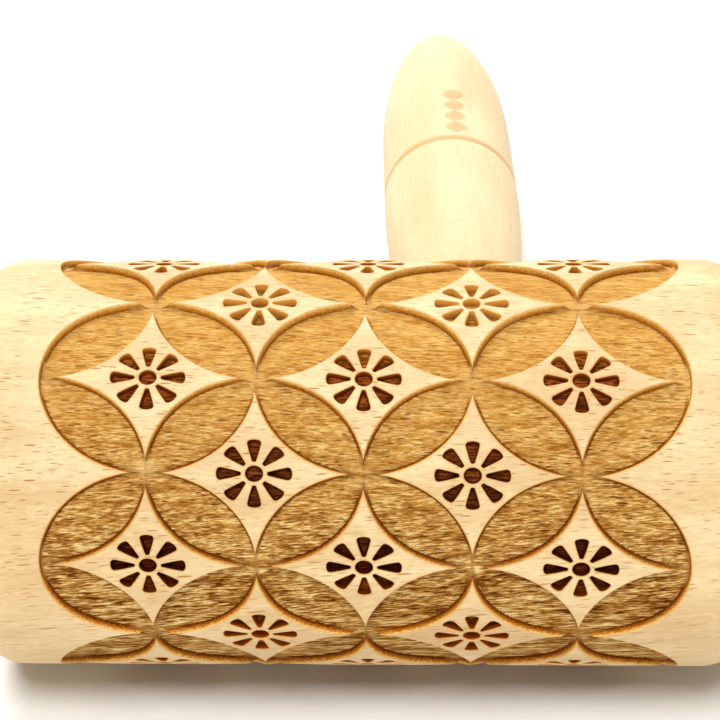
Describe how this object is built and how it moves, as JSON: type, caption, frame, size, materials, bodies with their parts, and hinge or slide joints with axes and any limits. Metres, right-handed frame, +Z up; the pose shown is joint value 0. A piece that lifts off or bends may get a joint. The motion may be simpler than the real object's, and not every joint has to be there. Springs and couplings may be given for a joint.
{
  "type": "pattern roller",
  "caption": "One-handed beech pattern roller: engraved barrel spinning on a bent steel rod, bullet-ended wooden handle behind it.",
  "frame": {"origin": "bottom centre of the whole roller's bounding box, on the floor that the barrel and the handle's end rest on", "axes": "+X along the barrel towards the frame's arm, +Y from the barrel to the handle's end, +Z up"},
  "size_m": [0.1422, 0.19, 0.06],
  "materials": {
    "barrel_beech": "fine sanded, unvarnished, darkened where it is engraved",
    "handle_beech": "fine sanded, unvarnished",
    "rod_steel": "bright zinc plated",
    "hardware_steel": "bright zinc plated",
    "screw_steel": "black oxide",
    "pin_steel": "plain",
    "bush_nylon": "natural nylon"
  },
  "bodies": {
    "frame": {"frame_rod": "rod_steel", "end_washer": "hardware_steel", "cap_nut": "hardware_steel", "stop_collar": "hardware_steel", "collar_screw": "screw_steel", "tang_washer": "hardware_steel", "handle": "handle_beech", "handle_pin": "pin_steel"},
    "barrel": {"roller_barrel": "barrel_beech", "bush_left": "bush_nylon", "bush_right": "bush_nylon", "thrust_washer": "bush_nylon"}
  },
  "joints": [
    {"name": "barrel_spin", "type": "hinge", "parent": "frame", "child": "barrel", "pos_m": [-0.00265, -0.06502, 0.03], "axis": [1, 0, 0], "continuous": true}
  ]
}
